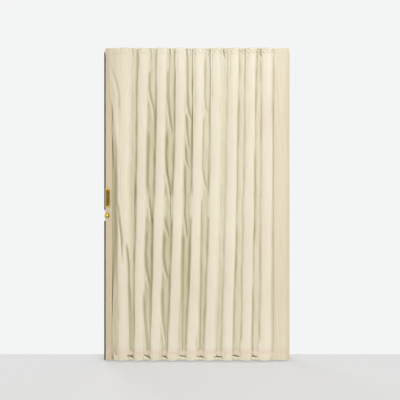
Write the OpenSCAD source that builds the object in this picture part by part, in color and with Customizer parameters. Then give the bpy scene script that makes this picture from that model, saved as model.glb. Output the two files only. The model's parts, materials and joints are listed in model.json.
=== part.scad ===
// Accordion folding door: two pleated vinyl covers on a steel pantograph that hangs from a track.
// +X points to the wall jamb, -Y to the side with the knob, +Z up. The origin is the centre of
// the track's top face. The door is drawn closed, stretched to its full width. Millimetres.

/* [Door] */
// Width of the closed door, from its leading edge to the wall
door_w = 1200; // [1180:1:1240]
// Height from the floor to the top of the track
door_h = 2032; // [1900:1:2300]
// Gap between the door and the floor
floor_gap = 10; // [6:1:20]

/* [Posts] */
// Width of the lead post over its edge strip and skin
lead_w = 51.5; // [49:0.5:56]
// Depth of both posts over their vinyl skins
post_d = 88; // [80:1:110]
// Sheet thickness of both posts
post_wall = 1.5; // [1:0.1:2.5]
// Outer corner radius of both posts
post_r = 4; // [3:0.5:6]
// Width of the jamb post, from its web to the wall
jamb_w = 84.5; // [70:0.5:92]
// Thickness of the timber strip on the wall
wall_strip_t = 24; // [18:1:40]
// Distance from the ends of the wall strip to its outermost screw holes
wall_hole_end = 92; // [60:1:140]
// Radius of the screw holes in the wall strip and the track
screw_hole_r = 2.75; // [2:0.05:3.5]
// Thickness of the edge strip on the lead post
edge_t = 5.5; // [4:0.5:8]

/* [Pantograph] */
// Distance between the outer pivots of one hinge plate
link_l = 150; // [145:1:170]
// Pitch of the pleats when the door is stacked
stack_pitch = 20; // [18:0.5:30]
// Sheet thickness of the hinge plates
plate_t = 2; // [1.5:0.1:3]
// Height of a hinge plate at its knuckles
plate_h = 38; // [30:1:50]
// Depth of the scoop in each long edge of a hinge plate
scoop = 9; // [4:0.5:11]
// Gap between the two hinge plates of a row
plate_gap = 1.5; // [1:0.1:3]
// Outer radius of the rolled knuckles
knuckle_r = 4.6; // [4.2:0.1:5]
// Radius of the pleat rods and pivot pins
rod_r = 3; // [2.5:0.1:3.3]
// Running clearance of a knuckle round its rod or pin
pivot_clear = 0.05; // [0.02:0.01:0.1]
// Reach from the lead post to the nearest pivot
lead_reach = 17; // [15:0.5:22]
// Reach from the jamb post to the nearest pivot
jamb_reach = 22; // [18:0.5:26]

/* [Track] */
// Outer width of the track
track_w = 38; // [36:1:40]
// Outer height of the track
track_h = 25; // [24:0.5:30]
// Wall thickness of the track
track_t = 2; // [1.5:0.1:2.2]
// Width of the slot in the underside of the track
slot_w = 10; // [9:0.5:12]
// Number of screw holes in the track
track_holes = 6; // [4:2:8]
// Radius of the trolley wheels
wheel_r = 8; // [7:0.1:8.5]
// Width of one trolley wheel
wheel_w = 9; // [7:0.5:10]
// Radius of the trolley axles
axle_r = 2; // [1.5:0.1:2.5]

/* [Covers] */
// Thickness of the vinyl
vinyl_t = 0.8; // [0.6:0.1:1.2]
// Half width of the flat top of a pleat
crest_half = 31; // [28:0.5:33]
// Width of the slope on each side of a pleat
slope_w = 12; // [10:0.5:14]
// Gap between the valleys of the covers and the track
valley_clear = 7; // [5:0.5:9]
// How much shallower the valleys are at the top and the bottom
end_lift = 10.5; // [10:0.5:13]
// How far the middle pleats lean to the lead post at the floor, and away from it at the top
lean_mid = 26; // [0:1:26]
// How far the outermost pleats lean
lean_end = 10; // [0:1:16]

/* [Lock and pulls] */
// Height of the spindle above the floor
lock_up = 946; // [900:1:1100]
// Height of the middle of the pulls above the floor
pull_up = 1060; // [1050:1:1200]
// Length of a pull's back plate
pull_l = 131; // [110:1:140]
// Width of a pull's back plate
pull_w = 31; // [26:0.5:34]
// Radius of a pull's grip
grip_r = 5.5; // [4.5:0.1:7]
// Finger gap behind a pull's grip
finger_gap = 22; // [20:0.5:30]
// Radius of the roses behind the knob and the turn
rose_r = 17.5; // [15:0.5:19]
// Radius of the knob
knob_r = 11; // [9:0.5:14]
// Radius of the lock spindle
spindle_r = 4; // [3:0.1:5]
// Throw of the latch bolt
bolt_throw = 12; // [8:0.5:14]
// Length of the latch plate
latch_l = 70; // [60:1:80]

/* [Hidden] */
$fn = 48;
pleats = 9;
row_count = 3;
trolley_joints = [2, 4, 6, 8];
mid = 5;
seat = 0.3;

// Places along the door. Joints c(j) are the crossings, outer(j) the front and back pivots.
edge_x = -door_w / 2;
wall_x = door_w / 2;
lead_in = edge_x + lead_w;
jamb_in = wall_x - jamb_w;
pivot_0 = jamb_in - jamb_reach;
pivot_end = lead_in + lead_reach;
pitch = (pivot_0 - pivot_end) / pleats;
fold_angle = acos(pitch / link_l);
rod_y = link_l * sin(fold_angle) / 2;
function c(j) = pivot_0 - j * pitch;
function outer(j) = pivot_0 - (j - 0.5) * pitch;

// Heights
floor_z = -door_h;
foot_z = floor_z + floor_gap;
head_gap = 3;
post_top = -track_h - head_gap;
// Gap between the jamb post's open side and the wall
wall_gap = 2;
cover_top = -2;
skin_top = cover_top - 2;
skin_corner_r = 12;
rod_short = 5;
rod_top = cover_top - rod_short;
rod_foot = foot_z + rod_short;
row_h = 2 * plate_h + plate_gap;
row_inset = 14;
row_top = post_top - row_inset;
row_low = foot_z + row_inset + row_h;
function row_z(k) = row_top + (row_low - row_top) * k / (row_count - 1);
lock_z = floor_z + lock_up;
pull_z = floor_z + pull_up;

// Depths, from the middle plane of the door
skin_y = post_d / 2;
post_y = skin_y - vinyl_t;
crest_in = rod_y + knuckle_r + seat;
valley_in = track_w / 2 + valley_clear;
flap_y = valley_in - seat;

// Knuckles, pins and their fits
bore_r = rod_r + pivot_clear;
pin_head_r = rod_r + 1.8;
pin_head_h = 1.5;
ear_t = 3;
ear_r = 7;

// Track and trolleys
track_short = 2;
track_hole_end = 50;
strip_short = 5;
lip_z = -track_h + track_t;
axle_z = lip_z + wheel_r + seat;
carriage_t = slot_w - 3;
// Carriages sit on every other crossing, so they just miss each other when the door is stacked
carriage_gap = 12;
carriage_l = 2 * stack_pitch - carriage_gap;
carriage_r = 3;
carriage_hole_r = 2.2;
neck_l = 16;
clip_t = 0.8;
clip_out = 1.2;
collar_r = 7;
collar_h = 4;
collar_z = -track_h - 4.5;
wheel_gap = 0.4;
nut_r = 6;
nut_h = 4;
stem_below = 2;

// Lock
edge_out = 1;
edge_r = 1.5;
edge_groove_r = 2;
latch_plate_t = 2;
latch_w = 24;
case_d = 18;
case_h = 90;
case_gap = 0.5;
bolt_h = 15.6;
bolt_d = 7.8;
bolt_up = 14;
bolt_tail = 15;
bolt_l = bolt_throw + bolt_tail;
slide_clear = 0.15;
spindle_in = 13;
spindle_x = edge_x + edge_out + edge_t + spindle_in;
rose_h = 3.5;
knob_h = 17;
turn_l = 26;
turn_t = 6;
pull_t = 2.5;
pull_in = 17;
pull_x = edge_x + edge_out + edge_t + pull_in;
grip_end = 20;
pull_screw_end = 9;
grip_foot = 3;
pull_screw_off = pull_l / 2 - pull_screw_end;
grip_span = pull_l - 2 * grip_end;
screw_r = 1.6;
screw_head_r = 3.4;
screw_l = 9;

steel = "lightsteelblue";
zinc = "silver";
cream = "antiquewhite";
brass = "goldenrod";

// Shared shapes

// A rectangle with round corners, centred
module round_rect(w, d, r) {
    square([w - 2 * r, d], center = true);
    square([w, d - 2 * r], center = true);
    for (sx = [-1, 1], sy = [-1, 1])
        translate([sx * (w / 2 - r), sy * (d / 2 - r)]) circle(r);
}

// A bar with half round ends, centred, standing along Z
module stadium(w, l) {
    square([w, l - w], center = true);
    for (s = [-1, 1]) translate([0, s * (l - w) / 2]) circle(w / 2);
}

// Turns a shape drawn in X and Z so that its thickness runs along Y, from y0 towards the room
module stand(y0, t) {
    translate([0, y0, 0]) rotate([90, 0, 0]) linear_extrude(t) children();
}

// A countersunk screw along -Y, its head's face at y = 0, its point towards +Y
module flush_screw(l) {
    rotate([-90, 0, 0]) {
        cylinder(h = screw_head_r - screw_r, r1 = screw_head_r, r2 = screw_r);
        cylinder(h = l, r = screw_r);
    }
}

// A tube of the post's section, open below and above
module post_tube(w, d, h) {
    linear_extrude(h) difference() {
        round_rect(w, d, post_r);
        round_rect(w - 2 * post_wall, d - 2 * post_wall, post_r - post_wall);
    }
}

// Track and jamb

// The track's section: a box with a slot between two lips
module track_section() {
    difference() {
        translate([-track_w / 2, -track_h]) square([track_w, track_h]);
        translate([-track_w / 2 + track_t, -track_h + track_t])
            square([track_w - 2 * track_t, track_h - 2 * track_t]);
        translate([-slot_w / 2, -track_h - 1]) square([slot_w, track_t + 2]);
    }
}

track_l = door_w - 2 * track_short;
track_hole_pitch = (track_l - 2 * track_hole_end) / (track_holes - 1);

module track() {
    color("whitesmoke") difference() {
        translate([-track_l / 2, 0, 0]) rotate([90, 0, 90]) linear_extrude(track_l) track_section();
        for (k = [0:track_holes - 1])
            translate([(k - (track_holes - 1) / 2) * track_hole_pitch, 0, -track_t - 1])
                cylinder(h = track_t + 2, r = screw_hole_r);
    }
}

wall_strip_w = 2 * (post_y - post_wall - seat);
wall_strip_h = post_top - foot_z - 2 * strip_short;
wall_strip_mid = (post_top + foot_z) / 2;
wall_holes = 4;
wall_hole_pitch = (wall_strip_h - 2 * wall_hole_end) / (wall_holes - 1);

module wall_strip() {
    color("burlywood") difference() {
        translate([wall_x - wall_strip_t, -wall_strip_w / 2, wall_strip_mid - wall_strip_h / 2])
            cube([wall_strip_t, wall_strip_w, wall_strip_h]);
        for (k = [0:wall_holes - 1])
            translate([wall_x - wall_strip_t - 1, 0,
                       wall_strip_mid + (k - (wall_holes - 1) / 2) * wall_hole_pitch])
                rotate([0, 90, 0]) cylinder(h = wall_strip_t + 2, r = screw_hole_r);
        jamb_screw_places() flush_screw(screw_l + pivot_clear);
    }
}

// The screws that hold the jamb post to the wall strip, through both of its flanges
jamb_screw_x = wall_x - wall_strip_t / 2;

module jamb_screw_places() {
    for (k = [0:row_count - 1], s = [-1, 1])
        translate([jamb_screw_x, 0, row_z(k) - row_h / 2]) rotate([0, 0, s < 0 ? 0 : 180])
            translate([0, -post_y, 0]) children();
}

module jamb_screws() {
    color(zinc) jamb_screw_places() flush_screw(screw_l);
}

module jamb_post() {
    w = jamb_w - wall_gap;
    color(steel) difference() {
        translate([jamb_in + w / 2, 0, foot_z]) post_tube(w, 2 * post_y, post_top - foot_z);
        translate([wall_x - wall_gap - post_r - post_wall, -post_y + post_wall, foot_z - 1])
            cube([post_r + post_wall + 5, 2 * (post_y - post_wall), post_top - foot_z + 2]);
        jamb_screw_places() flush_screw(screw_l);
    }
}

// A post's vinyl skin in plan, from x = 0 at its free edge round the corner and into the valley
module skin_plan(panel, flap) {
    r = post_r;
    translate([0, -skin_y]) square([panel - r, vinyl_t]);
    translate([panel - vinyl_t, -skin_y + r]) square([vinyl_t, skin_y - r - flap_y]);
    translate([panel - vinyl_t, -flap_y]) square([flap + vinyl_t, vinyl_t]);
    translate([panel - r, -skin_y + r]) intersection() {
        difference() {
            circle(r);
            circle(r - vinyl_t);
        }
        translate([0, -r]) square(r);
    }
}

// Both skins of one post, front and back
module skin_pair(panel, flap) {
    for (s = [0, 1]) mirror([0, s, 0])
        translate([0, 0, foot_z]) linear_extrude(skin_top - foot_z) skin_plan(panel, flap);
}

jamb_skin_x = pivot_0 + 8;

module jamb_skin() {
    panel = wall_x - wall_gap - jamb_skin_x;
    color(cream) translate([wall_x - wall_gap, 0, 0]) mirror([1, 0, 0])
        skin_pair(panel, jamb_skin_x - pivot_0);
}

// Hinge plates, rods and brackets

// The side view of one arm of a hinge plate, from its centre knuckle at x = 0 to its end knuckle
module arm_side(l) {
    scoop_w = l - 2 * knuckle_r - 12;
    scoop_r = (scoop_w * scoop_w / 4 + scoop * scoop) / (2 * scoop);
    difference() {
        square([l, plate_h]);
        for (s = [0, 1]) translate([l / 2, s * plate_h]) mirror([0, s])
            translate([0, scoop - scoop_r]) circle(scoop_r, $fn = 120);
    }
}

// One hinge plate: an arm for each direction in arms (-1 near, 1 far), with a knuckle at each end
module hinge_plate(arms) {
    l = link_l / 2;
    difference() {
        union() {
            for (a = arms) rotate([0, 0, a < 0 ? 180 : 0]) {
                translate([0, plate_t / 2, 0]) rotate([90, 0, 0]) linear_extrude(plate_t) arm_side(l);
                translate([l, 0, 0]) cylinder(h = plate_h, r = knuckle_r);
            }
            cylinder(h = plate_h, r = knuckle_r);
        }
        for (x = concat([0], [for (a = arms) a * l]))
            translate([x, 0, -1]) cylinder(h = plate_h + 2, r = bore_r);
    }
}

// The pin through the crossing of two hinge plates, from just above the row to just below it
module centre_pin() {
    translate([0, 0, -row_h - pin_head_h - seat]) cylinder(h = pin_head_h, r = pin_head_r);
    translate([0, 0, -row_h - seat - pin_head_h / 2])
        cylinder(h = row_h + 2 * seat + pin_head_h, r = rod_r);
    translate([0, 0, seat]) cylinder(h = pin_head_h, r = pin_head_r);
}

// A pleat rod at one outer pivot
module rod(x, y) {
    color(zinc) translate([x, y, rod_foot]) cylinder(h = rod_top - rod_foot, r = rod_r);
}

function is_trolley(j) = len([for (t = trolley_joints) if (t == j) t]) > 0;
function link_arms(j) = j == 0 ? [1] : j == pleats ? [-1] : [-1, 1];

// A link: the hinge plates of all rows that swing together. turn is 1 for the links that run to
// the front on the lead side, and -1 for those that run to the back.
module link(j, turn) {
    level = turn > 0 ? plate_h : row_h;
    color(steel) for (k = [0:row_count - 1])
        translate([c(j), 0, row_z(k) - level]) rotate([0, 0, 180 + turn * fold_angle])
            hinge_plate(link_arms(j));
}

// Links that run from the front rod j over crossing j to the back rod j + 1, with their own pins
module link_u(j) {
    link(j, -1);
    if (j > 0 && j != mid) rod(outer(j), -rod_y);
    if (j > 0 && j < pleats)
        color(zinc) for (k = [is_trolley(j) ? 1 : 0:row_count - 1])
            translate([c(j), 0, row_z(k)]) centre_pin();
}

// Links that run from the back rod j over crossing j to the front rod j + 1
module link_v(j) {
    link(j, 1);
    if (j > 0 && j != mid) rod(outer(j), rod_y);
}

module front_mid_rod() {
    rod(outer(mid), -rod_y);
}

module back_mid_rod() {
    rod(outer(mid), rod_y);
}

// A bracket for each row at the end of the pantograph. reach runs from the pivot to the post.
module end_bracket(reach) {
    back_t = 3;
    top = seat + ear_t;
    for (z = [seat, -row_h - seat - ear_t]) translate([0, 0, z]) {
        cylinder(h = ear_t, r = ear_r);
        translate([0, -ear_r, 0]) cube([reach, 2 * ear_r, ear_t]);
    }
    translate([reach - back_t, -2 * ear_r, -row_h - top])
        cube([back_t, 4 * ear_r, row_h + 2 * top]);
    translate([0, 0, -row_h - top]) cylinder(h = row_h + 2 * top, r = rod_r);
}

module jamb_hinges() {
    color(steel) for (k = [0:row_count - 1])
        translate([pivot_0, 0, row_z(k)]) end_bracket(jamb_reach);
}

module lead_hinges() {
    color(steel) for (k = [0:row_count - 1])
        translate([pivot_end, 0, row_z(k)]) rotate([0, 0, 180]) end_bracket(lead_reach + vinyl_t);
}

// Trolleys

// A carriage with its axle and the neck that passes down through the slot to foot
module carriage(foot) {
    axle_half = carriage_t / 2 + wheel_gap + wheel_w + 1;
    difference() {
        union() {
            translate([0, carriage_t / 2, axle_z]) rotate([90, 0, 0])
                linear_extrude(carriage_t) round_rect(carriage_l, 2 * wheel_r - 4, carriage_r);
            translate([-neck_l / 2, -carriage_t / 2, foot]) cube([neck_l, carriage_t, axle_z - foot]);
        }
        for (s = [-1, 1]) translate([s * carriage_l / 3, 0, axle_z]) rotate([90, 0, 0])
            cylinder(h = carriage_t + 2, r = carriage_hole_r, center = true);
    }
    translate([0, 0, axle_z]) rotate([90, 0, 0]) cylinder(h = 2 * axle_half, r = axle_r, center = true);
    for (s = [-1, 1]) translate([0, s * (axle_half - clip_t / 2), axle_z]) rotate([90, 0, 0])
        cylinder(h = clip_t, r = axle_r + clip_out, center = true);
}

// The trolley over crossing j, whose stem is also that crossing's pin in the top row
module trolley(j) {
    stem_foot = row_z(0) - row_h - seat - nut_h - stem_below;
    color(zinc) translate([c(j), 0, 0]) {
        carriage(collar_z);
        translate([0, 0, collar_z - collar_h]) cylinder(h = collar_h, r = collar_r);
        translate([0, 0, stem_foot]) cylinder(h = collar_z - stem_foot, r = rod_r);
        translate([0, 0, row_z(0) - row_h - seat - nut_h]) cylinder(h = nut_h, r = nut_r, $fn = 6);
    }
}

// The two wheels of a trolley, one on each side of its carriage
module wheel_pair(x) {
    color("ivory") translate([x, 0, axle_z]) for (s = [-1, 1]) rotate([s * 90, 0, 0])
        translate([0, 0, carriage_t / 2 + wheel_gap]) difference() {
            union() {
                cylinder(h = wheel_w - 1, r = wheel_r);
                translate([0, 0, wheel_w - 1]) cylinder(h = 1, r1 = wheel_r, r2 = wheel_r - 1);
            }
            translate([0, 0, -1]) cylinder(h = wheel_w + 2, r = axle_r + pivot_clear);
            translate([0, 0, wheel_w - 1.6]) difference() {
                cylinder(h = 2, r = wheel_r - 1.8);
                cylinder(h = 2, r = axle_r + 2);
            }
        }
}

// Lead post

post_x0 = edge_x + edge_out + edge_t;
post_x1 = lead_in - vinyl_t;
post_mid = (post_x0 + post_x1) / 2;

module lead_trolley() {
    color(zinc) translate([post_mid, 0, 0]) {
        carriage(post_top + seat);
        translate([0, 0, post_top - cap_h]) cylinder(h = cap_h + 2 * seat, r = rod_r);
    }
}

cap_h = 20;

// The steel insert that closes the top of the lead post and holds the trolley's stem
module lead_cap() {
    clear = 0.2;
    w = post_x1 - post_x0 - 2 * (post_wall + clear);
    color(steel) translate([post_mid, 0, post_top - cap_h]) difference() {
        linear_extrude(cap_h) round_rect(w, 2 * (post_y - post_wall - clear), post_r - post_wall);
        translate([0, 0, -1]) cylinder(h = cap_h + 2, r = bore_r);
    }
}

mortise_w = latch_w + 1;
mortise_h = latch_l - 6;

module lead_post() {
    color(steel) difference() {
        translate([post_mid, 0, foot_z])
            post_tube(post_x1 - post_x0, 2 * post_y, post_top - foot_z);
        translate([post_x0 - 1, -mortise_w / 2, lock_z - mortise_h / 2])
            cube([post_wall + 2, mortise_w, mortise_h]);
        spindle_hole(spindle_r + 1);
        pull_screw_places() flush_screw(screw_l);
    }
}

// What a round leaves outside it at the top corner of the lead skin
module skin_corner() {
    rotate([90, 0, 0]) linear_extrude(post_d + 2, center = true) difference() {
        translate([-1, -skin_corner_r]) square(skin_corner_r + 1);
        translate([skin_corner_r, -skin_corner_r]) circle(skin_corner_r);
    }
}

module lead_skin() {
    color(cream) difference() {
        translate([post_x0, 0, 0]) skin_pair(lead_in - post_x0, pivot_end - lead_in);
        translate([post_x0, 0, skin_top]) skin_corner();
        spindle_hole(spindle_r + 1);
        pull_screw_places() flush_screw(screw_l);
    }
}

// The edge strip in plan: round corners and two grooves in its outer face
module edge_section() {
    difference() {
        translate([edge_t / 2, 0]) round_rect(edge_t, post_d, edge_r);
        for (s = [-1, 1]) translate([0, s * post_d / 4]) circle(edge_groove_r);
    }
}

// The dark strip on the leading edge, cut away round the latch plate
module edge_strip() {
    color("saddlebrown") difference() {
        translate([edge_x + edge_out, 0, foot_z]) linear_extrude(post_top - foot_z) edge_section();
        translate([edge_x, -post_d / 2 - 1, lock_z - latch_l / 2 - seat])
            cube([edge_out + edge_t + 1, post_d + 2, latch_l + 2 * seat]);
    }
}

// A hole through the lead post from front to back for the spindle
module spindle_hole(r) {
    translate([spindle_x, 0, lock_z]) rotate([90, 0, 0])
        cylinder(h = post_d + 10, r = r, center = true);
}

case_x0 = edge_x + latch_plate_t;
case_x1 = post_x1 - post_wall - case_gap;

// The lock's case behind the latch plate, with a slot for the bolt
module lock_case() {
    inner_x0 = post_x0 + post_wall;
    nose_h = mortise_h - 2 * case_gap;
    color(steel) difference() {
        union() {
            translate([inner_x0, -case_d / 2, lock_z - case_h / 2])
                cube([case_x1 - inner_x0, case_d, case_h]);
            translate([case_x0, -latch_w / 2, lock_z - nose_h / 2])
                cube([inner_x0 - case_x0, latch_w, nose_h]);
        }
        bolt_slot(case_x0 - 1, bolt_l + 2);
        spindle_hole(spindle_r + pivot_clear);
        latch_screw_places() flush_screw(screw_l + pivot_clear);
    }
}

// The space that the latch bolt slides in
module bolt_slot(x, l) {
    translate([x, -bolt_d / 2 - slide_clear, lock_z + bolt_up - bolt_h / 2 - slide_clear])
        cube([l, bolt_d + 2 * slide_clear, bolt_h + 2 * slide_clear]);
}

module latch_screw_places() {
    for (s = [-1, 1]) translate([edge_x, 0, lock_z + s * (latch_l / 2 - 8)]) rotate([0, 0, -90])
        children();
}

module latch_screws() {
    color(brass) latch_screw_places() flush_screw(screw_l);
}

module latch_plate() {
    color(brass) difference() {
        translate([edge_x + latch_plate_t, 0, lock_z]) rotate([0, -90, 0])
            linear_extrude(latch_plate_t) round_rect(latch_l, latch_w, 3);
        bolt_slot(edge_x - 1, latch_plate_t + 2);
        latch_screw_places() flush_screw(screw_l);
    }
}

// The bolt, with a bevelled nose, drawn back into its case by its throw
module latch_bolt() {
    color(brass) translate([edge_x + seat, 0, lock_z + bolt_up]) rotate([90, 0, 0])
        linear_extrude(bolt_d, center = true)
        polygon([[0, -bolt_h / 2], [2, bolt_h / 2], [bolt_l, bolt_h / 2], [bolt_l, -bolt_h / 2]]);
}

module spindle() {
    half = skin_y + rose_h + 2;
    color(zinc) translate([spindle_x, 0, lock_z]) rotate([90, 0, 0])
        cylinder(h = 2 * half, r = spindle_r, center = true);
}

// A turned rose on the front (side -1) or the back (side 1) of the post
module rose(side) {
    color(brass) translate([spindle_x, side * skin_y, lock_z]) rotate([-side * 90, 0, 0])
        rotate_extrude($fn = 72) polygon([
            [spindle_r + pivot_clear, 0], [rose_r, 0], [rose_r, 1], [rose_r - 1.2, 2],
            [rose_r - 4, 2.4], [rose_r - 5, rose_h], [spindle_r + pivot_clear, rose_h]
        ]);
}

module front_rose() {
    rose(-1);
}

module back_rose() {
    rose(1);
}

// The round knob, waisted behind a domed head
module front_knob() {
    neck_r = knob_r * 0.6;
    y0 = skin_y + rose_h + seat;
    color(brass) translate([spindle_x, -y0, lock_z]) rotate([90, 0, 0])
        rotate_extrude($fn = 72) polygon([
            [spindle_r, 0], [neck_r + 1.5, 0], [neck_r, 2], [neck_r, 5], [knob_r - 1, 8],
            [knob_r, 10], [knob_r, 13], [knob_r - 1.5, 15], [knob_r - 5, knob_h - 0.5],
            [0, knob_h], [0, 2], [spindle_r, 2]
        ]);
}

// The turn on the back: a flat bar on a round foot
module back_turn() {
    y0 = skin_y + rose_h + seat;
    color(brass) translate([spindle_x, y0, lock_z]) rotate([-90, 0, 0]) difference() {
        union() {
            cylinder(h = 5, r = 8);
            translate([0, 0, 5]) cylinder(h = 2, r1 = 8, r2 = 6);
            translate([0, 0, 3]) linear_extrude(13) stadium(turn_t, turn_l);
        }
        translate([0, 0, -1]) cylinder(h = 3, r = spindle_r);
    }
}

// Pulls: a flat plate with round ends and a bow grip
module pull(side) {
    face = skin_y + pull_t;
    grip_y = face + finger_gap + grip_r;
    color(brass) translate([pull_x, 0, pull_z]) mirror([0, side > 0 ? 1 : 0, 0]) difference() {
        union() {
            stand(-skin_y, pull_t) stadium(pull_w, pull_l);
            translate([0, -grip_y, -grip_span / 2]) cylinder(h = grip_span, r = grip_r);
            for (s = [-1, 1]) translate([0, 0, s * grip_span / 2]) {
                translate([0, -grip_y, 0]) sphere(grip_r);
                translate([0, -skin_y - pull_t / 2, 0]) rotate([90, 0, 0])
                    cylinder(h = grip_y - skin_y - pull_t / 2, r = grip_r);
                translate([0, -face, 0]) rotate([90, 0, 0])
                    cylinder(h = grip_foot, r1 = grip_r + grip_foot, r2 = grip_r);
            }
        }
        for (s = [-1, 1]) translate([0, -face, s * pull_screw_off]) flush_screw(screw_l);
    }
}

module front_pull() {
    pull(-1);
}

module back_pull() {
    pull(1);
}

module pull_screw_places() {
    for (side = [0, 1], s = [-1, 1]) mirror([0, side, 0])
        translate([pull_x, -skin_y - pull_t, pull_z + s * pull_screw_off]) children();
}

module pull_screws() {
    color(brass) pull_screw_places() flush_screw(screw_l - seat);
}

// Covers

// The pleat's profile: distance from its middle and share of the full depth
stations = [
    [-crest_half - slope_w, 0], [-crest_half - slope_w / 2, 0.5], [-crest_half, 1],
    [-crest_half / 2, 1], [0, 1], [crest_half / 2, 1],
    [crest_half, 1], [crest_half + slope_w / 2, 0.5], [crest_half + slope_w, 0]
];
// Heights of the cover's rows, from 1 at the top to -1 at the bottom
cloth_rows = [1, 0.8, 0.3, -0.3, -0.8, -1];
valley_drop = 6;
valley_rise = 12;
cover_over = 6;

// Lean of pleat j where t runs from 1 at the top to -1 at the floor
function lean(j, t) = t * (lean_end + (lean_mid - lean_end) * sin(180 * (j - 0.5) / pleats));
function pleat_x(j, t) = outer(j) + lean(j, t);
function valley_x(j, t) = (pleat_x(j, t) + pleat_x(j + 1, t)) / 2;

// All columns of the cover from the lead side to the jamb, at height share t
function cover_columns(t) = concat(
    [[pivot_end - cover_over, 0]],
    [for (j = [pleats:-1:1]) each concat(
        [for (s = stations) [pleat_x(j, t) + s[0], s[1]]],
        j > 1 ? [[valley_x(j - 1, t), 0]] : []
    )],
    [[pivot_0 + cover_over, 0]]
);
function cover_z(t, share) = let (
    top = cover_top - valley_drop * (1 - share),
    foot = foot_z + valley_rise * (1 - share)
) (top + foot) / 2 + t * (top - foot) / 2;
// Depth of the valleys: deep along the middle, shallower over the top and the bottom hinge rows
function valley_y(t) = valley_in + end_lift * min(1, max(0, abs(t) - 0.3) / 0.5);
function cover_points(layer) = [
    for (t = cloth_rows) let (v = valley_y(t)) for (p = cover_columns(t))
        [p[0], -(v + (crest_in - v) * p[1] + layer), cover_z(t, p[1])]
];

// The front cover as one closed sheet: an outer and an inner layer joined along their edges
module cover_sheet() {
    n = len(cover_columns(0));
    m = len(cloth_rows);
    layer = n * m;
    points = concat(cover_points(vinyl_t), cover_points(0));
    function at(r, q, side) = side * layer + r * n + q;
    faces = concat(
        [for (r = [0:m - 2], q = [0:n - 2]) [at(r, q, 0), at(r, q + 1, 0), at(r + 1, q + 1, 0)]],
        [for (r = [0:m - 2], q = [0:n - 2]) [at(r, q, 0), at(r + 1, q + 1, 0), at(r + 1, q, 0)]],
        [for (r = [0:m - 2], q = [0:n - 2]) [at(r, q, 1), at(r + 1, q + 1, 1), at(r, q + 1, 1)]],
        [for (r = [0:m - 2], q = [0:n - 2]) [at(r, q, 1), at(r + 1, q, 1), at(r + 1, q + 1, 1)]],
        [for (q = [0:n - 2]) [at(0, q, 0), at(0, q, 1), at(0, q + 1, 1)]],
        [for (q = [0:n - 2]) [at(0, q, 0), at(0, q + 1, 1), at(0, q + 1, 0)]],
        [for (q = [0:n - 2]) [at(m - 1, q, 0), at(m - 1, q + 1, 0), at(m - 1, q + 1, 1)]],
        [for (q = [0:n - 2]) [at(m - 1, q, 0), at(m - 1, q + 1, 1), at(m - 1, q, 1)]],
        [for (r = [0:m - 2]) [at(r, 0, 0), at(r + 1, 0, 0), at(r + 1, 0, 1)]],
        [for (r = [0:m - 2]) [at(r, 0, 0), at(r + 1, 0, 1), at(r, 0, 1)]],
        [for (r = [0:m - 2]) [at(r + 1, n - 1, 0), at(r, n - 1, 0), at(r, n - 1, 1)]],
        [for (r = [0:m - 2]) [at(r + 1, n - 1, 0), at(r, n - 1, 1), at(r + 1, n - 1, 1)]]
    );
    polyhedron(points = points, faces = faces);
}

module front_cover() {
    color(cream) cover_sheet();
}

module back_cover() {
    color(cream) mirror([0, 1, 0]) cover_sheet();
}

track();
wall_strip();
jamb_post();
jamb_skin();
jamb_hinges();
jamb_screws();
lead_post();
lead_skin();
edge_strip();
lead_cap();
lead_hinges();
lead_trolley();
wheel_pair(post_mid);  // lead_wheels
lock_case();
latch_plate();
latch_bolt();
spindle();
front_knob();
back_turn();
front_rose();
back_rose();
front_pull();
back_pull();
pull_screws();
latch_screws();
for (j = [0:pleats]) link_u(j);
for (j = [0:pleats]) link_v(j);
for (j = trolley_joints) trolley(j);
for (j = trolley_joints) wheel_pair(c(j));
front_mid_rod();
back_mid_rod();
front_cover();
back_cover();
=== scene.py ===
# Accordion folding door: looks, soft covers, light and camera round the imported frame. Metres, +Z up.
import json
import math

import bpy
import numpy as np
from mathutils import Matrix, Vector


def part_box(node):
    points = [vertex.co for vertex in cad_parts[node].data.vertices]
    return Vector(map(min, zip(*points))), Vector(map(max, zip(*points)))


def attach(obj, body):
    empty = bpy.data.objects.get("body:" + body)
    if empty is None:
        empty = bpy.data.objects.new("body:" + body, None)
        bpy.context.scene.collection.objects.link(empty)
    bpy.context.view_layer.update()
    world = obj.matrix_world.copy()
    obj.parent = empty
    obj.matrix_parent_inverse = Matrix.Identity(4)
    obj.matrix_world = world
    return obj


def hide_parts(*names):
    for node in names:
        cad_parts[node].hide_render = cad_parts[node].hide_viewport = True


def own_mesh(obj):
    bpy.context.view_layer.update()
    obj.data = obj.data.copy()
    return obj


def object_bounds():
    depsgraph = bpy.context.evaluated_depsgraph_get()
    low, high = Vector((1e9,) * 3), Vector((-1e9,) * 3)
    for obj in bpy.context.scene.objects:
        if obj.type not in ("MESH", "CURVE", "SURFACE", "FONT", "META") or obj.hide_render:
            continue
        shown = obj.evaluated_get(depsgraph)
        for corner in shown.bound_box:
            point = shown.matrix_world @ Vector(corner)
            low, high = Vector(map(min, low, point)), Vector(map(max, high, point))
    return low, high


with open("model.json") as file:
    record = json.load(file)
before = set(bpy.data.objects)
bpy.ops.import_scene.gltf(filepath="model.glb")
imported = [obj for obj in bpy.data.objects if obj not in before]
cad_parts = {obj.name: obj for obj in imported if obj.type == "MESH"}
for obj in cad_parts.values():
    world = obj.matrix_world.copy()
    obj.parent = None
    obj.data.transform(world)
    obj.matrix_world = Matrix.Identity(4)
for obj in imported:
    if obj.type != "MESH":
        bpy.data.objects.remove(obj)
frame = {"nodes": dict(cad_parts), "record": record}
cad_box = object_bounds()
scene = bpy.context.scene

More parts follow.
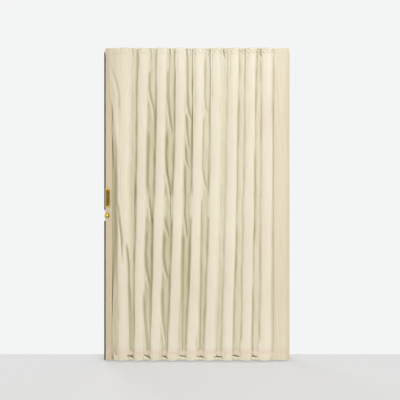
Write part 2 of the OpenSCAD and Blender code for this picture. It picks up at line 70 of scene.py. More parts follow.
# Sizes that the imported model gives. ROD_Y, CREST_Y and SKIN_Y are distances from the door's middle plane
MM = 0.001
PLEATS = 9
cover_lo, cover_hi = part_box("front_cover")
lead_lo, lead_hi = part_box("lead_skin")
jamb_lo, jamb_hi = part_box("jamb_skin")
rod_lo, rod_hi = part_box("front_mid_rod")
EDGE_X = cad_box[0].x
DOOR_W = cad_box[1].x - EDGE_X
COVER_TOP, COVER_FOOT = cover_hi.z, cover_lo.z
MID_Z = (COVER_TOP + COVER_FOOT) / 2
HALF_H = (COVER_TOP - COVER_FOOT) / 2
# The covers reach 6 mm past the end pivots
COVER_PAST = 6 * MM
PIVOT_END, PIVOT_0 = cover_lo.x + COVER_PAST, cover_hi.x - COVER_PAST
PITCH = (PIVOT_0 - PIVOT_END) / PLEATS
ROD_R = (rod_hi.x - rod_lo.x) / 2
ROD_Y = -(rod_lo.y + rod_hi.y) / 2
CREST_Y = -cover_lo.y
SKIN_Y = -lead_lo.y
PULL_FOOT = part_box("front_pull")[0].z

# The floor lies 10 mm under the covers
FLOOR_Z = -2.032

# Sizes in the CAD that the cloth follows: the hinge plates' length between their end pins, their knuckles
# and three rows, the covers' crests and valleys, and the skins
LINK_L = 150 * MM
KNUCKLE_R = 4.6 * MM
ROW_H = 80 * MM
ROW_TOPS = (-42 * MM, -986.25 * MM, -1930.5 * MM)
CREST_HALF = 25.5 * MM
VALLEY_MID, VALLEY_END = 26.8 * MM, 37.3 * MM
VINYL_T = 0.8 * MM
LEAD_CORNER, JAMB_CORNER = lead_hi.x - 17 * MM, jamb_lo.x + 8 * MM

# The fold angle at rest and at its end, and the share of the pleats' pitch that is left there
FOLD = next(j for j in frame["record"]["behaviour"]["joints"] if j["name"] == "fold")
FOLD_REST = math.acos(PITCH / LINK_L)
FOLD_END = FOLD_REST + math.radians(FOLD["range_deg"][1])
KEEP = LINK_L * math.cos(FOLD_END) / PITCH

# The photograph's frame: a point (px, py) of its 400 x 400 pixels on the door's front
PHOTO_SIDE, DOOR_PX = 400, 186.0
SCALE = DOOR_W / DOOR_PX
PHOTO_X, PHOTO_Y = 103.7, 47.2


def photo_x(px):
    return EDGE_X + (np.asarray(px) - PHOTO_X) * SCALE


def photo_z(py):
    return -(np.asarray(py) - PHOTO_Y) * SCALE


# The front cover's folds in the photograph's frame: (depth of the groove, how far the cloth on its left
# laps over it and half the groove's width, all in mm, and points)
FOLDS = [
    (4, 2, 9, [(109.2, 62), (113, 74), (116.6, 86), (118.6, 96), (118.8, 108)]),
    (17, 3, 6, [(116.8, 203), (118.0, 214), (119.4, 224), (120.8, 235), (121.8, 248), (122.4, 264)]),
    (15, 4, 7, [(125.4, 242), (126.6, 250), (127.8, 262), (128.2, 276), (128.6, 292), (129.2, 306),
                (129.8, 322), (130.2, 354)]),
    (10, 7, 7, [(149.2, 52), (148.8, 88), (150.6, 99), (153.4, 108), (155.2, 120)]),
    (10, 9, 7, [(148.0, 132), (146.8, 164), (146.4, 184), (147.8, 197), (149.8, 208), (151.8, 224)]),
    (10, 8, 7, [(146.0, 231), (144.8, 254), (145.4, 267), (147.6, 278), (150, 290)]),
    (11, 9, 7, [(143.4, 290), (143.8, 312), (145.4, 329), (146.8, 354)]),
    (10, 7, 7, [(168.8, 52), (167.4, 76), (167.4, 99), (169, 115), (171.8, 132)]),
    (10, 9, 7, [(166.6, 130), (165.2, 154), (166.1, 170), (169.1, 187), (171.6, 204)]),
    (8, 7, 6, [(164.2, 214), (166, 227), (169, 238)]),
    (10, 8, 7, [(163.4, 234), (162.6, 257), (164.8, 270), (168.6, 282)]),
    (10, 8, 7, [(161.4, 288), (162.0, 318), (164.4, 333), (167.0, 348)]),
    (9, 6, 7, [(186.8, 52), (187.2, 104), (188.8, 113), (191.6, 120)]),
    (8, 6, 6, [(186.0, 112), (187.0, 134), (189.2, 150)]),
    (7, 6, 6, [(185, 142), (186.0, 160), (189.0, 170)]),
    (8, 5, 7, [(184.6, 162), (184.4, 188), (184.0, 212), (186.8, 238)]),
    (7, 4, 7, [(183.0, 234), (182.4, 275), (182.0, 310), (182.0, 354)]),
    (5, 3, 7, [(205.2, 54), (204.4, 96), (205.4, 106), (207.6, 114)]),
    (8, 6, 6, [(203.6, 116), (202.8, 150), (202.4, 168), (204.0, 179), (206.6, 190)]),
    (7, 3, 7, [(201.6, 198), (200.6, 270), (200.0, 310), (199.6, 354)]),
]
# Where the cover turns into the recess beside the lead post: (px, py)
LEAD_TURN = [(108.8, 48), (109.2, 66), (110.0, 82), (112.0, 100), (114.6, 125), (117.0, 150), (117.5, 175),
             (117.6, 240), (118.0, 300), (118.4, 362)]
# Heights between which that recess turns shallow, upwards and downwards: py
SHALLOW_UP, SHALLOW_DOWN = (172, 124), (240, 335)
# Sharp pinches of the top hem, where the cloth is folded double: (px, depth in mm)
PINCHES = [(132, 7), (139.5, 3), (150.3, 11), (158, 4), (169.4, 11), (176, 7), (187, 11), (194.5, 5),
           (208.6, 6), (224.4, 11), (231, 4), (245, 6), (261.4, 11), (272, 4), (279, 3)]
# The top hem is loosest to the right of these places: px
LOOSE_FROM, LOOSE_TO = 196, 222
# The bottom hem flares to the right of these places, and its first hollow lies between the next two: px
FLARE_FROM, FLARE_TO = 118, 121
FIRST_HOLLOW = (112.8, 119.2)

# How far each pleat stands to the right of its rod, from the lead post to the jamb, at the cover's
# top, middle and foot, in mm
PLEAT_SHIFT = ((10, 4, -3), (15, 0, -15), (24, 3, -25), (31, 11, -27), (33, 19, -19), (33, 18, -16),
               (33, 17, -11), (32, 18, 1), (17, 18, 4))
# Mean shift and lean of the pleats, which the stacked cover takes back
SHIFT_MID = float(np.mean(PLEAT_SHIFT)) * MM
FOLD_SLANT = 0.020
# Depth of each valley below its pleats, from the lead post to the jamb, at VALLEY_AT of the height, in mm
VALLEY_AT = (1.0, 0.45, -0.3, -1.0)
VALLEY_DEPTH = ((7, 12, 13, 12), (7, 14, 16, 14), (7, 14, 17, 14), (6, 12, 16, 14),
                (5, 8, 12, 12), (5, 7, 9, 10), (5, 6, 8, 9), (5, 6, 7, 8))
# Width of the left and right wall of each valley, and depth of the soft grooves at their feet, in mm
LEFT_WALLS = (30, 15, 15, 16, 24, 27, 10, 9)
RIGHT_WALLS = (13, 13, 13, 13, 15, 20, 17, 17)
LEFT_GROOVES = (0, 0, 0, 0, 0, 0, 4, 5)
RIGHT_GROOVES = (6, 5, 5, 5, 4, 2, 2, 3)
# Depth of the crests' crown and of the ledge where the valleys start, and the room left for creases
CROWN, LEDGE = 4.6 * MM, 3.4 * MM
CREST_FLAT = CREST_Y - LEDGE
CREASE_ROOM = 6.2 * MM

# Hollows of the bottom hem, beside the lead post and in each valley: their depth, and their height over
# the foot at the left and right end, in mm
HEM_HOLLOWS = ((12, 52, 8), (20, 29, 4), (20, 31, 3), (14, 24, 7), (9, 26, 12), (10, 22, 8), (13, 17, 9),
               (16, 26, 9), (10, 20, 8))
HEM_TOP, HEM_FOOT = 36 * MM, 50 * MM
STITCH_TOP, STITCH_FOOT = 30 * MM, 45 * MM
SEAM_HALF = 0.6 * MM
STITCH_STEP, STITCH_W = 5.2 * MM, 2.2 * MM

# Columns of points across the cover's parts, the step of rows in its hems, and the rows between them
LEAD_COLUMNS, CREST_COLUMNS, VALLEY_COLUMNS, JAMB_COLUMNS = 9, 9, 26, 10
HEM_STEP, ROWS_BETWEEN = 3 * MM, 212

# Room that the cloth keeps from the rods and plates at rest
ROD_GAP, PLATE_GAP = 1.4 * MM, 3.2 * MM
# Room from the knuckles of the stacked door, which fades above and below a row of plates, the slope and
# end of its flanks, and how far knuckles may press into the front cover
STACK_GAP, STACK_SINK, STACK_FADE = 0.4 * MM, 14 * MM, 110 * MM
FLANK_SLOPE, FLANK_END = 2.2, 1.6
FRONT_EASE = 2.5 * MM


# Shapes of numbers, and meshes
def smooth(a, b, v):
    t = np.clip((v - a) / (b - a), 0, 1)
    return t * t * (3 - 2 * t)


def dip(distance, width):
    return np.exp(-(distance / width) ** 2)


def ripple(seed, *waves):
    """A wavy function of x and z: sines with seeded phases. Each wave is (size, per metre in x, in z)."""
    rng = np.random.default_rng(seed)
    phases = rng.uniform(0, 2 * math.pi, len(waves))
    turns = rng.uniform(-0.35, 0.35, len(waves))

    def f(x, z):
        total = 0
        for (size, fx, fz), phase, turn in zip(waves, phases, turns):
            total = total + size * np.sin(2 * math.pi * (fx * x + fz * z) + phase + turn * np.sin(9 * z))
        return total

    return f


def add_object(name, mesh, sharp_deg=None):
    """An object with a smooth-shaded mesh, whose edges over sharp_deg stay sharp."""
    mesh.polygons.foreach_set("use_smooth", np.ones(len(mesh.polygons), dtype=bool))
    if sharp_deg:
        mesh.set_sharp_from_angle(angle=math.radians(sharp_deg))
    obj = bpy.data.objects.new(name, mesh)
    scene.collection.objects.link(obj)
    return obj


def faces_object(name, points, faces, sharp_deg=None):
    mesh = bpy.data.meshes.new(name)
    mesh.from_pydata([tuple(p) for p in points], [], faces)
    mesh.update()
    return add_object(name, mesh, sharp_deg)


def sheet_object(name, outer, inner):
    """A closed sheet from two grids of points (rows, columns, 3), joined along their borders."""
    rows, cols = outer.shape[:2]
    points = np.concatenate([outer.reshape(-1, 3), inner.reshape(-1, 3)])
    index = np.arange(rows * cols).reshape(rows, cols)
    a, b, c, d = index[:-1, :-1], index[:-1, 1:], index[1:, 1:], index[1:, :-1]
    front = np.stack([a, d, c, b], -1).reshape(-1, 4)
    back = front[:, ::-1] + rows * cols
    rim = np.concatenate([index[0, :], index[1:, -1], index[-1, -2::-1], index[-2:0:-1, 0]])
    nxt = np.roll(rim, -1)
    edge = np.stack([rim, nxt, nxt + rows * cols, rim + rows * cols], -1)
    faces = np.concatenate([front, back, edge]).astype(np.int32)
    mesh = bpy.data.meshes.new(name)
    mesh.vertices.add(len(points))
    mesh.vertices.foreach_set("co", points.astype(np.float32).ravel())
    mesh.loops.add(faces.size)
    mesh.loops.foreach_set("vertex_index", faces.ravel())
    mesh.polygons.add(len(faces))
    mesh.polygons.foreach_set("loop_start", np.arange(0, faces.size, 4, dtype=np.int32))
    mesh.update(calc_edges=True)
    mesh.validate()
    return add_object(name, mesh, sharp_deg=60)


def thicken(outer, side):
    """A sheet's inner grid: outer moved by the vinyl's thickness into the door."""
    du = np.gradient(outer, axis=1)
    dv = np.gradient(outer, axis=0)
    normal = np.cross(du, dv)
    normal /= np.maximum(np.linalg.norm(normal, axis=2, keepdims=True), 1e-9)
    sign = np.where(normal[..., 1:2] * side > 0, -1.0, 1.0)
    return outer + normal * sign * VINYL_T


# Rows of the covers round a hem's seam, in mm from it, and the gaps before and after them
SEAM_ROWS = (-0.6, 0.6, 4, 9, 15, 22)
SEAM_START, BETWEEN_START = 2 * MM, 8 * MM
# Shares of half the height between which the CAD cover's valleys rise from VALLEY_MID to VALLEY_END
VALLEY_RISE = (0.3, 0.8)
# How far above and below a row of plates the cloth is held out, and its least room from the CAD cover
ROW_ABOVE, ROW_BELOW = 6 * MM, 4 * MM
CLOTH_GAP = 0.2 * MM


def rod_x(i):
    """The rod behind pleat i, counted from the lead post."""
    return PIVOT_END + (i + 0.5) * PITCH


def pleat_x(i, t):
    """Middle of pleat i at height share t: 1 at the top and -1 at the foot."""
    top, middle, foot = PLEAT_SHIFT[i]
    bend = (top + foot) / 2 - middle
    return rod_x(i) + (middle + (top - foot) / 2 * t + bend * t * t) * MM


def cover_rows():
    """The cover's rows as distances from the top, closer together in the hems."""

    def hem_rows(height):
        seam = height + np.array(SEAM_ROWS) * MM
        return np.concatenate([np.arange(0, height - SEAM_START, HEM_STEP), seam])

    top, foot = hem_rows(HEM_TOP), 2 * HALF_H - hem_rows(HEM_FOOT)[::-1]
    middle = np.linspace(top[-1] + BETWEEN_START, foot[0] - BETWEEN_START, ROWS_BETWEEN)
    return np.concatenate([top, middle, foot])


def valley_floor(t):
    """Least distance of the cover from the door's middle plane, as the plain CAD cover has it."""
    start, end = VALLEY_RISE
    return VALLEY_MID + (VALLEY_END - VALLEY_MID) * np.clip((np.abs(t) - start) / (end - start), 0, 1)


def clear_of_rods(x, y, z):
    """Keeps the cloth outside the rods, knuckles and hinge plates at rest."""
    in_row = np.zeros_like(z, dtype=bool)
    for top in ROW_TOPS:
        in_row |= (z < top + ROW_ABOVE) & (z > top - ROW_H - ROW_BELOW)
    r = np.where(in_row, KNUCKLE_R, ROD_R) + ROD_GAP
    for i in range(PLEATS):
        dx = np.abs(x - rod_x(i))
        round_rod = ROD_Y + np.sqrt(np.maximum(r * r - dx * dx, 0))
        y = np.where(dx < r, np.maximum(y, round_rod), y)
        plate = ROD_Y - dx * math.tan(FOLD_REST) + PLATE_GAP
        y = np.where(in_row & (dx < PITCH / 2), np.maximum(y, plate), y)
    return y


def clear_of_stack(x, y, z, ease):
    """Keeps the cloth outside the knuckles of the stacked door, which stand closer together.

    ease is how far they may press into it."""
    r = KNUCKLE_R + STACK_GAP
    for top in ROW_TOPS:
        outside = np.maximum(z - top, top - ROW_H - z)
        drop = ease + STACK_SINK * smooth(0, STACK_FADE, outside)
        for i in range(PLEATS):
            dx = KEEP * (x - rod_x(i) - SHIFT_MID - FOLD_SLANT * (z - MID_Z))
            knuckle = ROD_Y + np.sqrt(np.maximum(r * r - dx * dx, 0))
            flank = FLANK_SLOPE * np.maximum(np.abs(dx) - r, 0)
            y = np.where(np.abs(dx) < FLANK_END * r, np.maximum(y, knuckle - flank - drop), y)
    return y


class CoverPlan:
    """Where the pleats' edges run on one cover."""

    WANDER, WANDER_MID = 1.8 * MM, 0.6
    APART = 50 * MM
    GROOVE_CHANGE, GROOVE_LIMITS = 0.55, (0.1, 2)

    def __init__(self, seed):
        self.down = cover_rows()
        self.t = 1 - self.down / HALF_H
        self.z = COVER_TOP - self.down
        self.swell = ripple(seed, (0.6, 0.6, 1.3), (0.5, 1.7, 2.3), (0.35, 3.1, 4.1))
        self.edge = ripple(seed + 1, (1.0, 7.0, 0.75), (0.8, 13.0, 1.6), (0.35, 5.0, 3.4))
        self.fade = ripple(seed + 6, (0.7, 5.0, 1.1), (0.6, 9.0, 2.3), (0.5, 3.0, 4.7))
        middles = [pleat_x(i, self.t) for i in range(PLEATS)]
        self.left = [at - CREST_HALF - self.wander(at - self.APART) for at in middles]
        self.right = [at + CREST_HALF + self.wander(at + self.APART) for at in middles]

    def wander(self, x):
        """How much wider a crest is on the side of x."""
        return self.WANDER * np.clip(self.edge(x, self.z) + self.WANDER_MID, 0, 2)

    def valley_mid(self, i):
        return (self.right[i] + self.left[i + 1]) / 2

    def valley_depth(self, i):
        depth = np.interp(self.t, VALLEY_AT[::-1], VALLEY_DEPTH[i][::-1]) * MM
        return np.minimum(depth, CREST_Y - valley_floor(self.t) - CREASE_ROOM)

    def groove(self, distance, half_w, phase):
        """A soft groove, 1 deep at distance 0, which comes and goes along the height."""
        change = 1 + self.GROOVE_CHANGE * self.fade(phase, self.z)
        return dip(distance, half_w) * np.clip(change, *self.GROOVE_LIMITS)


# The free edge climbs onto the post's face where the turn stands from CLIMB_START right of the post's
# corner to CLIMB_END left of it. In the recess it stands FREE_BACK left of the end pivot, and where this is
# shallow FREE_BACK_MORE farther left, SHALLOW_DEPTH below the skin
CLIMB_START, CLIMB_END = 22 * MM, 6 * MM
FREE_BACK, FREE_BACK_MORE, SHALLOW_DEPTH = 6 * MM, 9 * MM, 4.5 * MM
# On the post: how far the free edge stands left of the turn, and how high over the skin
LAP_BACK, LAP_RISE = 5 * MM, 1.6 * MM
# How far the turn lies below the crests, in mm, and how much more on the post, and the cloth's sag there
SHOULDER, SHOULDER_MORE = 3.5, 3
SAG = 2.5 * MM


def lead_edge(plan):
    """The cover's free edge beside the lead post, and the rounded edge where it turns into the recess.

    over is 1 where the free edge lies on the post's face, and 0 where it hangs in the recess."""
    px, py = np.array(LEAD_TURN).T
    turn = np.interp(-plan.z, -photo_z(py), photo_x(px))
    over = smooth(LEAD_CORNER + CLIMB_START, LEAD_CORNER - CLIMB_END, turn)
    shallow = np.maximum(*(smooth(*photo_z(span), plan.z) for span in (SHALLOW_DOWN, SHALLOW_UP)))
    free_x = PIVOT_END - FREE_BACK - FREE_BACK_MORE * shallow
    free_y = VALLEY_MID + CLOTH_GAP + (SKIN_Y - SHALLOW_DEPTH - VALLEY_MID) * shallow ** 0.5
    free_x = free_x - (free_x - turn + LAP_BACK) * over
    free_y = free_y + (SKIN_Y + LAP_RISE - free_y) * over
    return free_x, free_y, turn, over


# Each of the next four gives columns of the cover as (x, y, share), where share is 1 on the crests,
# which reach farther up and down than the valleys
def lead_columns(plan):
    """From the free edge round the turn to the first pleat."""
    free_x, free_y, turn, over = lead_edge(plan)
    shoulder = CREST_FLAT - (SHOULDER + SHOULDER_MORE * over) * MM
    for k in range(LEAD_COLUMNS):
        q = k / LEAD_COLUMNS
        yield free_x + (turn - free_x) * q ** 0.8, free_y + (shoulder - free_y) * q ** 1.6, 0.5
    for k in range(LEAD_COLUMNS):
        q = k / LEAD_COLUMNS
        sag = SAG * math.sin(math.pi * q) * over
        y = shoulder + (CREST_FLAT - shoulder) * q ** 0.5 - sag
        yield turn + (plan.left[0] - turn) * q, y, 0.7


def crest_columns(plan, i):
    """Across pleat i, which is crowned."""
    wide = plan.right[i] - plan.left[i]
    for k in range(CREST_COLUMNS):
        u = -1 + 2 * k / (CREST_COLUMNS - 1)
        x = plan.left[i] + wide * (u + 1) / 2
        y = CREST_FLAT + CROWN * math.cos(u * math.pi / 2)
        yield x, y + plan.swell(x, plan.z) * 0.6 * MM, 1


# A valley's walls start a little outside it, a groove lies at this share of each wall, and the floor rises
# in its middle by this share of the depth
WALL_START = 2 * MM
LEFT_AT, RIGHT_AT = 0.8, 0.9
LEFT_HALF, RIGHT_HALF = 7 * MM, 7.5 * MM
FLOOR_RISE = 0.25


def valley_columns(plan, i):
    """Across the valley on the right of pleat i: two walls, a groove at the foot of each, and a low rise."""
    gap = plan.left[i + 1] - plan.right[i]
    depth = plan.valley_depth(i)
    left_wall, right_wall = LEFT_WALLS[i] * MM, RIGHT_WALLS[i] * MM
    for k in range(1, VALLEY_COLUMNS + 1):
        q = k / (VALLEY_COLUMNS + 1)
        from_left, from_right = q * gap, (1 - q) * gap
        walls = smooth(-WALL_START, left_wall, from_left) * smooth(-WALL_START, right_wall, from_right)
        left = plan.groove(from_left - LEFT_AT * left_wall, LEFT_HALF, 0.3 * i)
        right = plan.groove(from_right - RIGHT_AT * right_wall, RIGHT_HALF, 0.7 + 0.3 * i)
        grooves = (LEFT_GROOVES[i] * left + RIGHT_GROOVES[i] * right) * MM
        y = CREST_FLAT - depth * walls * (1 - FLOOR_RISE * math.sin(math.pi * q) ** 2) - grooves
        yield plan.right[i] + gap * q, y, 1 - walls * 0.9


# Beside the jamb: how far the cover reaches past the last pivot, and the depth of its last hollow, which
# is shallower by this share near the top
JAMB_REACH, JAMB_HOLLOW, JAMB_TOP_LESS = 15 * MM, 4.5 * MM, 0.6


def jamb_columns(plan):
    """From the last pleat, nearly flat, onto the jamb's skin."""
    last = plan.right[-1]
    for k in range(1, JAMB_COLUMNS + 1):
        q = k / JAMB_COLUMNS
        flat = CREST_FLAT + (SKIN_Y + 1.5 * MM - CREST_Y) * q
        less = 1 - JAMB_TOP_LESS * smooth(0.8, 1, plan.t)
        hollow = JAMB_HOLLOW * math.sin(math.pi * q) ** 2 * less
        yield last + (PIVOT_0 + JAMB_REACH - last) * q, flat - hollow, 1 - 0.5 * math.sin(math.pi * q)


# How much the valleys are shorter than the crests at the top and foot, and the borders' unevenness
SHORT_TOP, SHORT_FOOT, UNEVEN = 3 * MM, 5 * MM, 0.8 * MM


def cover_grid(plan):
    """The outer layer of one cover, with y as the distance from the door's middle plane."""
    columns = list(lead_columns(plan))
    for i in range(PLEATS):
        columns += crest_columns(plan, i)
        if i < PLEATS - 1:
            columns += valley_columns(plan, i)
    columns += jamb_columns(plan)
    x, y, share = (np.stack([v + 0 * plan.t for v in part], 1) for part in zip(*columns))
    top = COVER_TOP - SHORT_TOP * (1 - share) + UNEVEN * np.sin(70 * x) * np.sin(31 * x + 1)
    foot = COVER_FOOT + SHORT_FOOT * (1 - share) + UNEVEN * (1 + np.sin(53 * x))
    z = top - plan.down[:, None] / (2 * HALF_H) * (top - foot)
    return x, y, z


# A fold fades out over a share of its length at each end, and over FADE_MOST at most. The cloth laps over
# from LAP_START to LAP_END left of its line, and no closer to the crests than LAP_ROOM
FADE_SHARE, FADE_MOST = 0.3, 60 * MM
LAP_START, LAP_END, LAP_ROOM = (-32 * MM, -10 * MM), (1.5 * MM, -4 * MM), 3 * MM
# Close to a rod a groove is eased by this share, because the rod holds the cloth out
ROD_EASE, ROD_NEAR = 0.8, 6 * MM


def fold_lines(plan, other_side):
    """Each fold as (groove, lap, width, z and x of its points). The back has them in other valleys."""
    for groove, lap, wide, points in FOLDS:
        px, py = np.array(points).T
        line_x, line_z = photo_x(px), photo_z(py)
        if other_side:
            i = int((line_x.mean() - PIVOT_END) / PITCH - 0.5)
            if i < 1 or i > PLEATS - 2:
                continue
            mids = [np.interp(-line_z, -plan.z, plan.valley_mid(k)) for k in (i, PLEATS - 1 - i)]
            line_x = line_x - mids[0] + mids[1]
        yield groove * MM, lap * MM, wide * MM, line_z, line_x


def drape(plan, x, y, z, other_side):
    """Adds the folds to the grid: on the left of each the cloth laps over, and ends in a groove."""
    rods = rod_x(np.arange(PLEATS))[:, None, None]
    for groove, lap, wide, line_z, line_x in fold_lines(plan, other_side):
        top, foot = line_z[0], line_z[-1]
        at = np.interp(-z, -line_z, line_x)
        soft = min(FADE_MOST, FADE_SHARE * (top - foot))
        inside = smooth(top + 0.3 * soft, top - soft, z) * smooth(foot - 0.3 * soft, foot + 0.7 * soft, z)
        grow = smooth(top + 10 * MM, top - 0.6 * (top - foot), z)
        d = x - at
        over = smooth(*LAP_END, d) * smooth(*LAP_START, d)
        y = y + np.minimum(lap * inside * grow * over, np.maximum(CREST_FLAT - LAP_ROOM - y, 0))
        ease = 1 - ROD_EASE * dip(np.abs(at - rods).min(0), ROD_NEAR)
        y = y - groove * inside * ease * dip(d - 0.3 * wide, wide)
    return y


# Small creases: how many, their distance from the cover's ends, half their height in m, half their width
# and their depth in mm, and their tilt
CREASES, CREASE_INSET = 90, 50 * MM
CREASE_TALL, CREASE_WIDE, CREASE_DEEP = (0.03, 0.11), (2.4, 5.0), (0.6, 1.9)
CREASE_TILT = (-0.35, 0.15)


def short_creases(seed, x, y, z):
    """Small random creases, most of them upright."""
    rng = np.random.default_rng(seed)
    for _ in range(CREASES):
        at_x = rng.uniform(PIVOT_END, PIVOT_0)
        at_z = rng.uniform(COVER_FOOT + CREASE_INSET, COVER_TOP - CREASE_INSET)
        tall, wide = rng.uniform(*CREASE_TALL), rng.uniform(*CREASE_WIDE) * MM
        tilt, deep = rng.uniform(*CREASE_TILT), rng.uniform(*CREASE_DEEP) * MM
        d = x - at_x + tilt * (z - at_z)
        y = y - deep * dip(d, wide) * dip(z - at_z, tall)
    return y


# Distances from the top or foot over which the hems' forms fade in
PINCH_FADE, FLARE_FADE = (75 * MM, 20 * MM), (66 * MM, 42 * MM)
PUCKER_TOP, PUCKER_FOOT = (52 * MM, 18 * MM), (50 * MM, 14 * MM)
CRUMPLE_TOP, CRUMPLE_FOOT = (70 * MM, 22 * MM), (60 * MM, 16 * MM)
# A pinch's half width, its sideways wander, and the place and half width of the swellings beside it
PINCH_HALF, PINCH_WANDER = 4.5 * MM, 4 * MM
SWELL_AT, SWELL_HALF = 8 * MM, 5 * MM
# The flared hem stays this far below the crests, a hollow's lip comes closer, and the hollow's half width
FLARE_ROOM, CURL_ROOM, HOLLOW_HALF = 6 * MM, 4.5 * MM, 3.2 * MM
# How thick the double cloth stands up, and how far the stitching pulls it in
HEM_RISE, STITCH_PULL = 0.8 * MM, 0.9 * MM


def pinched(x, y, row):
    """The top hem's pinches, with a small swelling on each side. row is the distance from the top."""
    fade = smooth(*PINCH_FADE, row)
    for px, deep in PINCHES:
        d = x - photo_x(px) - PINCH_WANDER * np.sin(40 * row + px)
        beside = dip(d - SWELL_AT, SWELL_HALF) + dip(d + SWELL_AT, SWELL_HALF)
        y = y - deep * MM * fade * (0.9 * dip(d, PINCH_HALF) - 0.3 * beside)
    return y


def flared(plan, x, y, from_foot):
    """The bottom hem comes forward in the valleys, and curls under along slanting hollows."""
    flare = smooth(*FLARE_FADE, from_foot) * smooth(photo_x(FLARE_FROM), photo_x(FLARE_TO), x)
    y = y + 0.6 * flare * np.maximum(CREST_Y - FLARE_ROOM - y, 0)
    spans = [photo_x(FIRST_HOLLOW)]
    spans += [(plan.right[i][-1] - 4 * MM, plan.left[i + 1][-1] + 5 * MM) for i in range(PLEATS - 1)]
    for (x0, x1), (deep, high, low) in zip(spans, HEM_HOLLOWS):
        q = np.clip((x - x0) / (x1 - x0), 0, 1)
        path = (high - (high - low) * q) * MM
        inside = smooth(0, 0.2, q) * smooth(1, 0.85, q)
        below = smooth(path + 1 * MM, path - 5 * MM, from_foot)
        y = y + np.maximum(CREST_Y - CURL_ROOM - y, 0) * below * inside
        y = y - deep * MM * inside * dip(from_foot - path - 2 * MM, HOLLOW_HALF)
    return y


def hems(seed, plan, x, y, z):
    """Pinches and puckers of the top hem, the flared bottom hem, and the seams of both."""
    row = plan.down[:, None] + 0 * x
    from_foot = 2 * HALF_H - row
    pucker = ripple(seed, (0.7, 38, 11), (0.6, 61, 17), (0.4, 97, 23))
    crumple = ripple(seed + 1, (0.9, 29, 31), (0.8, 47, 19), (0.6, 71, 43), (0.4, 103, 37))
    loose = 0.3 + 1.7 * smooth(photo_x(LOOSE_FROM), photo_x(LOOSE_TO), x)
    y = pinched(x, y, row)
    y = y + pucker(x, z) * MM * smooth(*PUCKER_TOP, row)
    y = y + crumple(x + 0.01 * np.sin(37 * z), z) * MM * loose * smooth(*CRUMPLE_TOP, row)
    y = flared(plan, x, y, from_foot)
    y = y + pucker(x, z) * MM * smooth(*PUCKER_FOOT, from_foot)
    y = y + 0.6 * crumple(x, z + 0.01 * np.sin(23 * x)) * MM * smooth(*CRUMPLE_FOOT, from_foot)
    # Both hems are double cloth, and their stitching pulls them in
    for distance, height, stitch in ((row, HEM_TOP, STITCH_TOP), (from_foot, HEM_FOOT, STITCH_FOOT)):
        y = y + HEM_RISE * smooth(height + SEAM_HALF, height - SEAM_HALF, distance)
        y = y - STITCH_PULL * dip(distance - stitch, STITCH_W)
    return y


# Over a post's skin the cover lies on its face: how far from the end pivots that starts, and the room
ON_LEAD, ON_JAMB, ON_POST_GAP = 14 * MM, 7 * MM, 1.1 * MM


def make_cover(name, side, seed):
    """One cover and its stitches. side is -1 for the front and 1 for the back."""
    plan = CoverPlan(seed)
    x, y, z = cover_grid(plan)
    y = drape(plan, x, y, z, other_side=side > 0)
    y = short_creases(seed + 5, x, y, z)
    loose = ripple(seed + 2, (0.5, 5, 1.1), (0.45, 9, 3.7), (0.3, 17, 6.1), (0.2, 31, 2.3))
    streak = ripple(seed + 3, (0.26, 47, 0.8), (0.2, 83, 1.3), (0.14, 131, 0.6))
    sunk = np.clip((CREST_Y - y) / (15 * MM), 0, 1)
    y = y + loose(x, z) * MM * (0.5 + 0.9 * sunk) + streak(x + 0.01 * np.sin(5 * z), z) * MM
    y = hems(seed + 4, plan, x, y, z)
    y = clear_of_rods(x, y, z)
    y = clear_of_stack(x, y, z, ease=FRONT_EASE if side < 0 else 0)
    y = np.maximum(y, valley_floor(plan.t)[:, None] + CLOTH_GAP)
    on_post = (x < PIVOT_END - ON_LEAD) | (x > PIVOT_0 + ON_JAMB)
    y = np.where(on_post, np.maximum(y, SKIN_Y + ON_POST_GAP), y)

    outer = np.stack([x, side * y, z], 2)
    inner = thicken(outer, side)
    order = slice(None) if side < 0 else slice(None, None, -1)
    cover = sheet_object(name, outer[:, order], inner[:, order])
    cut = np.linalg.norm(np.diff(outer, axis=1), axis=2).sum(1)
    stitches = make_stitches(name.replace("cloth", "stitches"), outer, plan.down, side)
    return cover, stitches, float(np.median(cut))


# One lock stitch: its points along the seam, up and out of the cloth as shares of STITCH_HALF, and faces
STITCH_HALF = (1.7 * MM, 0.45 * MM, 0.5 * MM)
STITCH_POINTS = ((-1, 0, -0.4), (-0.55, 1, 0.7), (-0.55, -1, 0.7), (0.55, 1, 0.7), (0.55, -1, 0.7),
                 (1, 0, -0.4), (-0.4, 0, 1), (0.4, 0, 1))
STITCH_FACES = ((0, 1, 6), (0, 6, 2), (1, 3, 7, 6), (2, 6, 7, 4), (3, 5, 7), (5, 4, 7), (0, 2, 4, 5),
                (0, 5, 3, 1))


def point_at(s, along, line):
    """The point at distance s on a line, whose points lie at the distances along."""
    return np.array([np.interp(s, along, line[:, k]) for k in range(3)])


def make_stitches(name, outer, down, side):
    """A row of lock stitches along each hem of a cover."""
    up = np.array([0, 0, 1.0])
    points, faces = [], []
    for dist in (STITCH_TOP, 2 * HALF_H - STITCH_FOOT):
        line = outer[int(np.argmin(np.abs(down - dist)))]
        steps = np.linalg.norm(np.diff(line, axis=0), axis=1)
        along = np.concatenate([[0], np.cumsum(steps)])
        for s in np.arange(6 * MM, along[-1] - 6 * MM, STITCH_STEP):
            p = point_at(s, along, line)
            ahead = point_at(s + 1 * MM, along, line) - p
            ahead /= np.linalg.norm(ahead)
            out = np.cross(ahead, up)
            out *= np.sign(out[1] * side) / np.linalg.norm(out) if out[1] else 1.0
            axes = [axis * half for axis, half in zip((ahead, up, out), STITCH_HALF)]
            first = len(points)
            for shares in STITCH_POINTS:
                points.append(p + sum(share * axis for share, axis in zip(shares, axes)))
            faces += [[first + k for k in face] for face in STITCH_FACES]
    return faces_object(name, points, faces)


